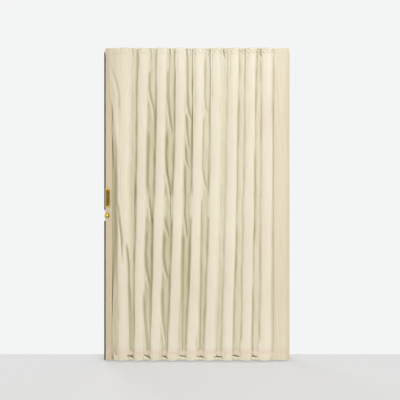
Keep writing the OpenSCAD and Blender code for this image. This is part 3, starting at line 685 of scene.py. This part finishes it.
# The posts' skins and the lips of the edge strip
SKIN_CORNER_R = 4 * MM
SKIN_DEEP = VALLEY_MID - 0.8 * MM
SKIN_HEM_ROWS, SKIN_ROWS = 12, 150
LIP_W, LIP_RISE = 5 * MM, 1.9 * MM
LIP_STEPS, LIP_RINGS = 8, 60


def skin_outline(x_free, x_corner, x_flap):
    """Points (x, y) from the free edge along the post's face, round its corner and into the recess."""
    r = SKIN_CORNER_R
    sign = 1 if x_corner > x_free else -1
    turns = [math.pi / 2 * k / 6 for k in range(1, 7)]
    outline = [(x_free + (x_corner - sign * r - x_free) * k / 22, SKIN_Y) for k in range(23)]
    outline += [(x_corner - sign * r * (1 - math.sin(a)), SKIN_Y - r * (1 - math.cos(a))) for a in turns]
    outline += [(x_corner, SKIN_Y - r + (SKIN_DEEP - SKIN_Y + r) * k / 5) for k in range(1, 6)]
    outline += [(x_corner + (x_flap - x_corner) * k / 4, SKIN_DEEP - 0.3 * MM) for k in range(1, 5)]
    return np.array(outline)


def post_skin(name, side, x_free, x_corner, x_flap, seed, round_top, wave):
    """The vinyl on one face of a post. round_top rounds its free top corner, and wave sizes its ripples."""
    outline = skin_outline(x_free, x_corner, x_flap)
    top, foot = lead_hi.z, lead_lo.z
    hem = np.arange(SKIN_HEM_ROWS) * HEM_STEP
    middle = np.linspace(40 * MM, top - foot - 40 * MM, SKIN_ROWS)
    down = np.concatenate([hem, middle, top - foot - hem[::-1]])
    x, y = (np.repeat(outline[None, :, k], len(down), 0) for k in (0, 1))
    free = np.abs(x - x_free)
    arc = np.sqrt(np.maximum(round_top ** 2 - (round_top - free) ** 2, 0))
    z_top = top - np.where(free < round_top, round_top - arc, 0)
    z = z_top - down[:, None] / down[-1] * (z_top - foot)
    face = smooth(SKIN_DEEP + 6 * MM, SKIN_Y - 1 * MM, y)
    ripples = ripple(seed, (0.5, 11, 0.9), (0.4, 19, 2.1), (0.3, 33, 0.7), (0.25, 57, 3.3))
    y = y + wave * MM * (np.abs(ripples(x, z)) - 0.1) * face * smooth(0, 6 * MM, free)
    if wave > 1:
        y = y - 0.6 * MM * face * dip(down[:, None] - STITCH_TOP, STITCH_W)

    outer = np.stack([x, side * y, z], 2)
    inner = thicken(outer, side)
    inner[..., 1] = np.where(np.abs(inner[..., 1]) > np.abs(outer[..., 1]), outer[..., 1], inner[..., 1])
    if (side < 0) != (x_corner > x_free):
        outer, inner = outer[:, ::-1], inner[:, ::-1]
    cut = np.linalg.norm(np.diff(outline, axis=0), axis=1).sum()
    return sheet_object(name, outer, inner), float(cut)


def edge_lip(name, side):
    """The lip of the dark edge strip over the lead skin's free edge, in two lengths beside the latch."""
    strip_lo, strip_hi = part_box("edge_strip")
    plate_lo, plate_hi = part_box("latch_plate")
    ring = LIP_STEPS + 1
    points, faces = [], []
    for foot, top in ((strip_lo.z, plate_lo.z - 1 * MM), (plate_hi.z + 1 * MM, strip_hi.z - 10 * MM)):
        first = len(points)
        for r in range(LIP_RINGS + 1):
            z = foot + (top - foot) * r / LIP_RINGS
            wide = LIP_W + 0.25 * MM * math.sin(31 * z + 2 * math.sin(13 * z))
            rise = LIP_RISE * (0.2 if r in (0, LIP_RINGS) else 1)
            for k in range(ring):
                a = math.pi * k / LIP_STEPS
                x = strip_hi.x - 1 * MM + wide / 2 * (1 - math.cos(a))
                points.append((x, side * (SKIN_Y - 0.4 * MM + rise * math.sin(a)), z))
        for at in range(first, first + LIP_RINGS * ring, ring):
            for k in range(ring):
                nxt = (k + 1) % ring
                faces.append((at + k, at + nxt, at + ring + nxt, at + ring + k)[::-side])
        faces.append(tuple(first + k for k in range(ring))[::side])
        faces.append(tuple(first + ring * LIP_RINGS + k for k in range(ring))[::-side])
    return faces_object(name, points, faces, sharp_deg=50)


# Node helpers
def srgb(r, g, b):
    shares = (c / 255 for c in (r, g, b))
    return tuple(c / 12.92 if c <= 0.04045 else ((c + 0.055) / 1.055) ** 2.4 for c in shares)


def material(name):
    mat = bpy.data.materials.new(name)
    mat.use_nodes = True
    tree = mat.node_tree
    return mat, tree, tree.nodes["Principled BSDF"]


def node(tree, kind, inputs=None, **props):
    """A node whose inputs are links where they are sockets, and plain values otherwise."""
    n = tree.nodes.new(kind)
    for key, value in props.items():
        setattr(n, key, value)
    for key, value in (inputs or {}).items():
        if isinstance(value, bpy.types.NodeSocket):
            tree.links.new(value, n.inputs[key])
        else:
            n.inputs[key].default_value = value
    return n


def coords(tree, scale=(1, 1, 1)):
    at = node(tree, "ShaderNodeTexCoord").outputs["Object"]
    return node(tree, "ShaderNodeMapping", {"Vector": at, "Scale": scale}).outputs["Vector"]


def noise_tex(tree, vector, scale, detail=3.0, rough=0.55):
    return node(tree, "ShaderNodeTexNoise", {"Vector": vector, "Scale": scale, "Detail": detail,
                                             "Roughness": rough}).outputs["Fac"]


def ramp(tree, fac, *stops):
    n = node(tree, "ShaderNodeValToRGB", {"Fac": fac})
    elements = n.color_ramp.elements
    for element, (position, color) in zip(elements, stops):
        element.position = position
        element.color = (*color, 1)
    return n.outputs["Color"]


def mix(tree, share, a, b):
    """Colour a with this share of colour b."""
    a, b = (c if isinstance(c, bpy.types.NodeSocket) else (*c, 1) for c in (a, b))
    return node(tree, "ShaderNodeMix", {0: share, 6: a, 7: b}, data_type="RGBA").outputs[2]


def math_node(tree, op, a, b=0.0):
    return node(tree, "ShaderNodeMath", {0: a, 1: b}, operation=op).outputs[0]


def to_range(tree, value, a, b, c, d):
    """c where value is a, d where it is b, and between them in between."""
    return node(tree, "ShaderNodeMapRange", {"Value": value, "From Min": a, "From Max": b,
                                             "To Min": c, "To Max": d}).outputs["Result"]


def range_product(tree, value, limits, other, other_limits):
    a, b = to_range(tree, value, *limits), to_range(tree, other, *other_limits)
    return math_node(tree, "MULTIPLY", a, b)


def bump(tree, bsdf, height, strength, distance):
    n = node(tree, "ShaderNodeBump", {"Height": height, "Strength": strength, "Distance": distance})
    tree.links.new(n.outputs["Normal"], bsdf.inputs["Normal"])


def vary_roughness(tree, bsdf, noise, low, high):
    tree.links.new(to_range(tree, noise, 0.3, 0.7, low, high), bsdf.inputs["Roughness"])


def cavity(tree, low, high):
    """1 in a mesh's hollows, 0 on its flat and raised parts."""
    point = node(tree, "ShaderNodeNewGeometry").outputs["Pointiness"]
    return to_range(tree, point, high, low, 0.0, 1.0)


# Where the vinyl's colour changes: from, to, and the new colour's shares there
PEACH_MID, PEACH_SIDES = -0.06, (0.28, 0.62, 0.0, 0.75)
PALE_ENDS, PALE_ALONG = (0.6, 0.98, 0.0, 0.7), (-0.42, -0.1, 0.1, 1.0)
ROSY_RISE, ROSY_FALL = (30 * MM, 42 * MM, 0.0, 1.0), (55 * MM, 90 * MM, 0.55, 0.0)
HEM_EDGE = (32 * MM, 26 * MM, 0.0, 0.35)
# Painted shade: the vinyl darker and greener the deeper it lies below the crests, darkest in the deepest
# hollows
HOLLOW_SHADE = (CREST_Y - 3 * MM, CREST_Y - 22 * MM, 0.0, 0.9)
DEEPEST_SHADE = (CREST_Y - 20 * MM, CREST_Y - 32 * MM, 0.0, 0.8)
# Painted shadow in the bottom hem's hollows: the height over the foot below which it lies
HEM_SHADOW_HEIGHT = (40 * MM, 34 * MM, 0.0, 1.0)
# The vinyl darker towards the jamb skin's free edge
JAMB_EDGE_DARKER = (jamb_hi.x - 24 * MM, jamb_hi.x - 15 * MM, 0.0, 0.4)
PALE, ROSY, HEM_CREAM = srgb(252, 244, 226), srgb(240, 218, 204), srgb(236, 226, 192)
# Colours of the painted shadow in the bottom hem's hollows and of the painted shade on the lead post's
# corner
HEM_SHADOW_BROWN, CORNER_SHADE_GREEN = srgb(112, 100, 70), srgb(212, 204, 172)


def vinyl_color(tree, v, streaks, light, tint, deep, peach, hem_shade, corner_shade):
    """The vinyl's colour by its place on the door, and shade painted by its depth below the pleats' crests.
    """
    at = node(tree, "ShaderNodeSeparateXYZ", {"Vector": v}).outputs
    y = math_node(tree, "ABSOLUTE", at["Y"])
    over_foot = math_node(tree, "SUBTRACT", at["Z"], COVER_FOOT)
    from_middle = math_node(tree, "ABSOLUTE", math_node(tree, "SUBTRACT", at["Z"], MID_Z))
    sideways = math_node(tree, "ABSOLUTE", math_node(tree, "SUBTRACT", at["X"], PEACH_MID))
    color = ramp(tree, noise_tex(tree, v, 2.2, 4), (0.35, light), (0.7, tint))
    color = mix(tree, to_range(tree, sideways, *PEACH_SIDES), color, peach)
    color = mix(tree, range_product(tree, from_middle, PALE_ENDS, at["X"], PALE_ALONG), color, PALE)
    color = mix(tree, range_product(tree, over_foot, ROSY_RISE, over_foot, ROSY_FALL), color, ROSY)
    color = mix(tree, to_range(tree, over_foot, *HEM_EDGE), color, HEM_CREAM)
    # Painted shade in the hollows below the crests, and darker still in the deepest
    color = mix(tree, range_product(tree, y, HOLLOW_SHADE, streaks, (0.3, 0.7, 0.75, 1.1)), color, deep)
    color = mix(tree, to_range(tree, y, *DEEPEST_SHADE), color, tuple(0.8 * c for c in deep))
    # Painted shade in the mesh's creases
    color = mix(tree, math_node(tree, "MULTIPLY", cavity(tree, 0.47, 0.5), 0.55), color, deep)
    color = mix(tree, to_range(tree, streaks, 0.45, 0.75, 0.0, 0.10), color, deep)
    # Painted shadow in the hollows where the bottom hem curls under
    hollow = (CREST_Y - 8 * MM, CREST_Y - 15 * MM, 0.0, hem_shade)
    color = mix(tree, range_product(tree, y, hollow, over_foot, HEM_SHADOW_HEIGHT), color, HEM_SHADOW_BROWN)
    # Darker towards the jamb skin's free edge
    color = mix(tree, to_range(tree, at["X"], *JAMB_EDGE_DARKER), color, deep)
    # Painted shade on the lead post's rounded corner, where it turns into the recess
    corner = (lead_hi.x - 33 * MM, lead_hi.x - 19 * MM, 0.0, corner_shade)
    return mix(tree, to_range(tree, at["X"], *corner), color, CORNER_SHADE_GREEN)


def vinyl_material(name, light, tint, deep, peach, hem_shade=0.0, corner_shade=0.0):
    """Vinyl-coated cloth: fine leather grain, slack lines, and hollows painted darker and greener as shade.

    hem_shade paints shadow into the bottom hem's hollows, and corner_shade paints shade on the lead post's
    corner."""
    mat, tree, bsdf = material(name)
    v, tall = coords(tree), coords(tree, (1, 1, 0.1))
    streaks = noise_tex(tree, tall, 30, 3)
    color = vinyl_color(tree, v, streaks, light, tint, deep, peach, hem_shade, corner_shade)
    tree.links.new(color, bsdf.inputs["Base Color"])
    vary_roughness(tree, bsdf, noise_tex(tree, v, 9, 3), 0.5, 0.62)
    grain = node(tree, "ShaderNodeTexVoronoi", {"Vector": v, "Scale": 620.0}).outputs["Distance"]
    height = math_node(tree, "MULTIPLY", grain, 0.6)
    for noise, share in ((noise_tex(tree, v, 1400, 2), 0.5), (noise_tex(tree, tall, 60, 4), 1.2),
                         (noise_tex(tree, tall, 24, 2), 3.6)):
        height = math_node(tree, "ADD", height, math_node(tree, "MULTIPLY", noise, share))
    bump(tree, bsdf, height, 0.45, 0.7 * MM)
    bsdf.inputs["Specular IOR Level"].default_value = 0.4
    bsdf.inputs["Sheen Weight"].default_value = 0.08
    bsdf.inputs["Sheen Roughness"].default_value = 0.5
    return mat


def metal_material(name, base, dark, rough, scale, spangle=0.0, worn=0.25):
    """Metal with a brushed or spangled surface, and tarnish in patches."""
    mat, tree, bsdf = material(name)
    v = coords(tree)
    tarnish = tuple(b + (d - b) * worn for b, d in zip(base, dark))
    color = ramp(tree, noise_tex(tree, v, scale, 5, 0.6), (0.38, base), (0.78, tarnish))
    if spangle:
        cells = node(tree, "ShaderNodeTexVoronoi", {"Vector": v, "Scale": spangle}).outputs["Color"]
        grey = node(tree, "ShaderNodeRGBToBW", {"Color": cells}).outputs["Val"]
        color = mix(tree, math_node(tree, "MULTIPLY", grey, 0.22), color, dark)
    tree.links.new(color, bsdf.inputs["Base Color"])
    bsdf.inputs["Metallic"].default_value = 1.0
    vary_roughness(tree, bsdf, noise_tex(tree, v, scale * 2.3, 4), rough * 0.8, rough * 1.35)
    bump(tree, bsdf, noise_tex(tree, coords(tree, (1, 1, 14)), 420, 3), 0.12, 0.2 * MM)
    return mat


def brass_material(name, bright, dull, patina_and_shade_brown):
    """Brass worn bright on plates and knobs, with shade painted brown on the grips that stand off, and brown
    patina in its hollows.
    """
    mat = metal_material(name, bright, dull, 0.26, 60, worn=0.6)
    tree = mat.node_tree
    base = tree.nodes["Principled BSDF"].inputs["Base Color"]
    metal = base.links[0].from_socket
    at = node(tree, "ShaderNodeSeparateXYZ", {"Vector": coords(tree)}).outputs
    # Painted shade: the parts that stand off the skin, from the pull's foot up, are darkened brown
    stands_off = (SKIN_Y + 5 * MM, SKIN_Y + 14 * MM, 0.0, 1.0)
    on_pull = (PULL_FOOT - 20 * MM, PULL_FOOT, 0.0, 1.0)
    y = math_node(tree, "ABSOLUTE", at["Y"])
    grip_shade = range_product(tree, y, stands_off, at["Z"], on_pull)
    grime = math_node(tree, "MULTIPLY", cavity(tree, 0.46, 0.5), 0.5)
    # The brown is painted shade on the grips and patina in the hollows
    patina_and_shade = math_node(tree, "MAXIMUM", grip_shade, grime)
    uneven = to_range(tree, noise_tex(tree, coords(tree), 90, 3), 0.3, 0.7, 0.7, 1.0)
    patina_and_shade = math_node(tree, "MULTIPLY", patina_and_shade, uneven)
    tree.links.new(mix(tree, patina_and_shade, metal, patina_and_shade_brown), base)
    return mat


def wood_material(name, light, dark):
    mat, tree, bsdf = material(name)
    wave = {"Vector": coords(tree, (1, 1, 0.09)), "Scale": 34.0, "Distortion": 5.5, "Detail": 3.0,
            "Detail Scale": 1.6}
    rings = node(tree, "ShaderNodeTexWave", wave, wave_type="BANDS", bands_direction="X").outputs["Fac"]
    pores = noise_tex(tree, coords(tree, (1, 1, 0.03)), 900, 2)
    color = mix(tree, rings, light, dark)
    color = mix(tree, math_node(tree, "MULTIPLY", pores, 0.3), color, tuple(0.6 * c for c in dark))
    tree.links.new(color, bsdf.inputs["Base Color"])
    vary_roughness(tree, bsdf, pores, 0.55, 0.75)
    bump(tree, bsdf, math_node(tree, "ADD", rings, pores), 0.2, 0.4 * MM)
    return mat


def plastic_material(name, base, second, rough, grain, depth):
    mat, tree, bsdf = material(name)
    v = coords(tree)
    color = ramp(tree, noise_tex(tree, v, 14, 4), (0.35, base), (0.7, second))
    tree.links.new(color, bsdf.inputs["Base Color"])
    vary_roughness(tree, bsdf, noise_tex(tree, v, 55, 3), rough * 0.85, rough * 1.15)
    bump(tree, bsdf, noise_tex(tree, v, grain, 3), 0.3, depth)
    return mat


# Materials, and which one each slot of the imported model gets
# Each vinyl's fourth colour is the painted shade of its hollows, which the streaks and the darker jamb edge
# also mix in
VINYL = vinyl_material("cream_vinyl", srgb(242, 234, 212), srgb(238, 228, 206), srgb(184, 177, 138),
                       srgb(243, 229, 209), hem_shade=0.85)
VINYL_JAMB = vinyl_material("cream_vinyl_jamb", srgb(240, 230, 208), srgb(238, 226, 202),
                            srgb(214, 203, 168), srgb(240, 227, 206))
VINYL_LEAD = vinyl_material("cream_vinyl_lead", srgb(232, 214, 190), srgb(221, 203, 179),
                            srgb(188, 175, 138), srgb(232, 212, 188), corner_shade=0.8)
THREAD = plastic_material("thread", srgb(226, 214, 188), srgb(206, 194, 164), 0.75, 3200, 0.2 * MM)
BRASS = brass_material("aged_brass", srgb(214, 188, 92), srgb(150, 122, 50), srgb(104, 78, 26))
STEEL = metal_material("galvanised_steel", srgb(176, 180, 184), srgb(120, 125, 130), 0.36, 12, spangle=75)
ZINC = metal_material("zinc_plate", srgb(198, 200, 204), srgb(140, 142, 148), 0.27, 40)
NYLON = plastic_material("moulded_nylon", srgb(226, 222, 208), srgb(214, 208, 190), 0.42, 900, 0.1 * MM)
ENAMEL = plastic_material("white_enamel", srgb(228, 228, 222), srgb(220, 219, 210), 0.36, 700, 0.15 * MM)
EDGE = plastic_material("dark_edge_vinyl", srgb(64, 47, 12), srgb(50, 37, 10), 0.75, 1100, 0.3 * MM)
TIMBER = wood_material("softwood", srgb(205, 168, 118), srgb(160, 118, 72))
SLOT_LOOKS = {"track_finish": ENAMEL, "timber": TIMBER, "plated_steel": STEEL, "zinc": ZINC, "nylon": NYLON,
              "vinyl": VINYL, "edge_vinyl": EDGE, "brass": BRASS}
for row in frame["record"]["subparts"]:
    materials = frame["nodes"][row["node"]].data.materials
    looks = SLOT_LOOKS[row["material_slot"]]
    if not materials:
        materials.append(looks)
    for k in range(len(materials)):
        materials[k] = looks


# Covers, their stitches and the skins of the posts
def dress(obj, body, slot, look, *nodes):
    """Gives an object its material and body, and hides the nodes that it stands for; slot is not used."""
    obj.data.materials.append(look)
    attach(obj, body)
    if nodes:
        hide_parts(*nodes)


for name, side, seed in (("front_cover", -1, 11), ("back_cover", 1, 47)):
    cover, stitches, cut_w = make_cover(f"{name}_cloth", side, seed)
    body = name.replace("cover", "pleats")
    dress(cover, body, "vinyl", VINYL, name)
    dress(stitches, body, "vinyl", THREAD)
    for piece in (cover, stitches):
        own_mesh(piece)

for post, body, x_free, x_corner, x_flap, look, round_top, wave in (
        ("lead_skin", "lead", lead_lo.x, LEAD_CORNER, lead_hi.x, VINYL_LEAD, 12 * MM, 0.6),
        ("jamb_skin", "root", jamb_hi.x, JAMB_CORNER, jamb_lo.x, VINYL_JAMB, 0, 2.2)):
    for end, side in (("front", -1), ("back", 1)):
        skin, cut_w = post_skin(f"{post}_{end}", side, x_free, x_corner, x_flap, 90 + side, round_top, wave)
        dress(skin, body, "vinyl", look, post)

for end, side in (("front", -1), ("back", 1)):
    dress(edge_lip(f"edge_lip_{end}", side), "lead", "edge_vinyl", EDGE)


# The room: a pale floor, as bright as the background behind the door's line
WALL_Y = 80 * MM
FLOOR_SIDE = 30
BACKGROUND = (0.9, 0.905, 0.91)
FLOOR_NEAR, FLOOR_GLOW = (0.80, 0.805, 0.81), (0.88, 0.88, 0.885)


def floor_material():
    mat, tree, bsdf = material("pale_floor")
    at = node(tree, "ShaderNodeNewGeometry").outputs["Position"]
    y = node(tree, "ShaderNodeSeparateXYZ", {"Vector": at}).outputs["Y"]
    behind = to_range(tree, y, WALL_Y - 4 * MM, WALL_Y + 4 * MM, 0.0, 1.0)
    tree.links.new(mix(tree, behind, FLOOR_NEAR, BACKGROUND), bsdf.inputs["Base Color"])
    bsdf.inputs["Roughness"].default_value = 0.9
    bsdf.inputs["Specular IOR Level"].default_value = 0.1
    glow = node(tree, "ShaderNodeEmission", {"Color": mix(tree, behind, FLOOR_GLOW, BACKGROUND)})
    seen = node(tree, "ShaderNodeLightPath").outputs["Is Camera Ray"]
    seen = math_node(tree, "MULTIPLY", seen, to_range(tree, behind, 0.0, 1.0, 0.45, 1.0))
    shown = node(tree, "ShaderNodeMixShader", {0: seen, 1: bsdf.outputs[0], 2: glow.outputs[0]})
    tree.links.new(shown.outputs[0], tree.nodes["Material Output"].inputs["Surface"])
    return mat


def studio_world():
    """A white world, dimmer as a light than as seen directly or in reflections."""
    world = bpy.data.worlds.new("studio")
    world.use_nodes = True
    tree = world.node_tree
    tree.nodes.clear()
    path = node(tree, "ShaderNodeLightPath").outputs
    seen = math_node(tree, "MAXIMUM", path["Is Camera Ray"], path["Is Transmission Ray"])
    seen = math_node(tree, "MAXIMUM", seen, path["Is Glossy Ray"])
    ambient = node(tree, "ShaderNodeBackground", {"Color": (1.0, 0.99, 0.97, 1), "Strength": 0.5})
    white = node(tree, "ShaderNodeBackground", {"Color": (*BACKGROUND, 1), "Strength": 1.0})
    shown = node(tree, "ShaderNodeMixShader", {0: seen, 1: ambient.outputs[0], 2: white.outputs[0]})
    node(tree, "ShaderNodeOutputWorld", {"Surface": shown.outputs[0]})
    return world


bpy.ops.mesh.primitive_plane_add(size=1, location=(0, 0, FLOOR_Z))
floor = bpy.context.object
floor.name = "floor"
floor.scale = (FLOOR_SIDE, FLOOR_SIDE, 1)
floor.data.materials.append(floor_material())
scene.world = studio_world()

# Lights turned to the door's middle: name, place, size, watts and colour
LIGHT_TARGET = Vector((0, 0, -1.0))
LIGHTS = (("key", (2.1, -3.9, 0.3), (1.2, 3.2), 81, (1.0, 0.985, 0.955)),
          ("fill", (-2.4, -3.4, -0.5), (2.4, 2.4), 20, (0.97, 0.99, 1.0)),
          ("back_key", (-2.4, 3.0, 0.6), (2.0, 2.4), 50, (1, 1, 1)),
          ("back_fill", (2.4, 3.2, -0.2), (2.4, 2.4), 18, (1, 1, 1)))
for name, at, size, watts, color in LIGHTS:
    data = bpy.data.lights.new(name, "AREA")
    data.shape = "RECTANGLE"
    data.size, data.size_y = size
    data.energy = watts
    data.color = color
    light = bpy.data.objects.new(name, data)
    scene.collection.objects.link(light)
    light.location = at
    light.rotation_euler = (LIGHT_TARGET - Vector(at)).to_track_quat("-Z", "Y").to_euler()

# The camera looks level at the door from 3 m off, and its picture is the photograph's frame
DISTANCE, CAM_UP = 3.0, 1.2
SENSOR_MM = 36
PHOTO_W = PHOTO_SIDE * SCALE
camera_data = bpy.data.cameras.new("camera")
camera = bpy.data.objects.new("camera", camera_data)
scene.collection.objects.link(camera)
scene.camera = camera
camera.location = (photo_x(PHOTO_SIDE / 2), -CREST_Y - DISTANCE, FLOOR_Z + CAM_UP)
camera.rotation_euler = (math.pi / 2, 0, 0)
camera_data.sensor_width = SENSOR_MM
camera_data.lens = SENSOR_MM * DISTANCE / PHOTO_W
camera_data.shift_y = (photo_z(PHOTO_SIDE / 2) - camera.location.z) / PHOTO_W
camera_data.clip_start, camera_data.clip_end = 0.05, 60

scene.view_settings.view_transform = "Standard"
